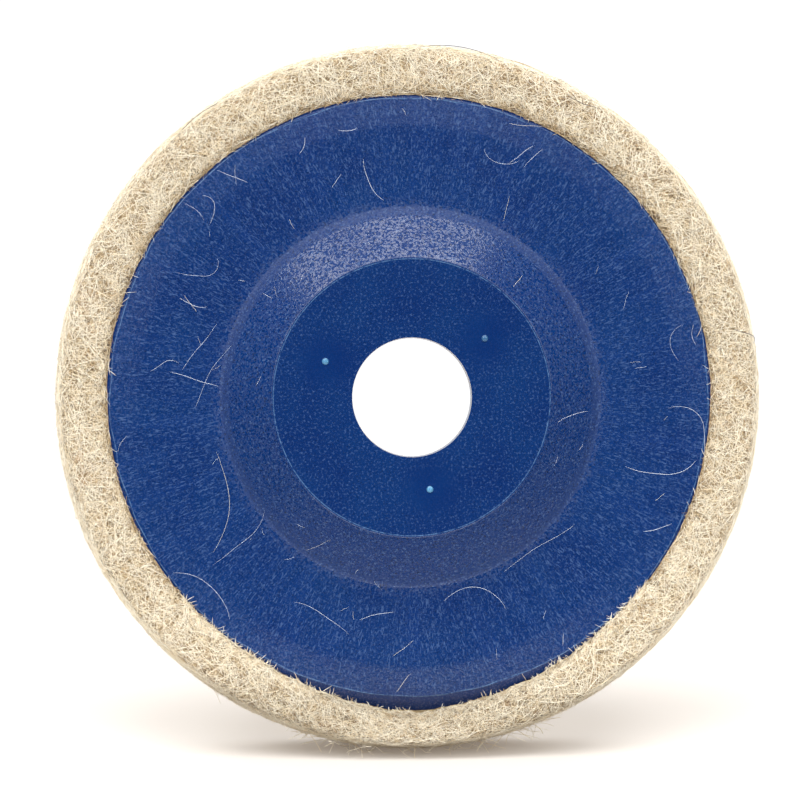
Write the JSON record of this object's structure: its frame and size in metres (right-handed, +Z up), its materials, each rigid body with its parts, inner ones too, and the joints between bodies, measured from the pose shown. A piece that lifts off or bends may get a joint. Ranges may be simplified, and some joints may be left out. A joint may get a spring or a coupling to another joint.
{
  "type": "polishing pad",
  "caption": "Felt polishing disc for an angle grinder: a thick wool felt ring bonded to a moulded backing plate with a raised hub and a plain spindle bore.",
  "frame": {"origin": "centre of the bore on the hub's clamp face, which the grinder's flange seats on", "axes": "the disc's axis lies along Y: -Y points to the machine, +Y to the work, and +Z up to the top of the disc standing on its rim"},
  "size_m": [0.1, 0.0176, 0.1],
  "materials": {
    "moulded_plastic": "satin moulded, fine grain with flow lines",
    "adhesive": "amber, glossy where it shows",
    "wool_felt": "pressed wool felt with loose fibres"
  },
  "bodies": {
    "root": {"backing_plate": "moulded_plastic", "adhesive_layer": "adhesive", "felt_ring": "wool_felt"}
  },
  "joints": []
}
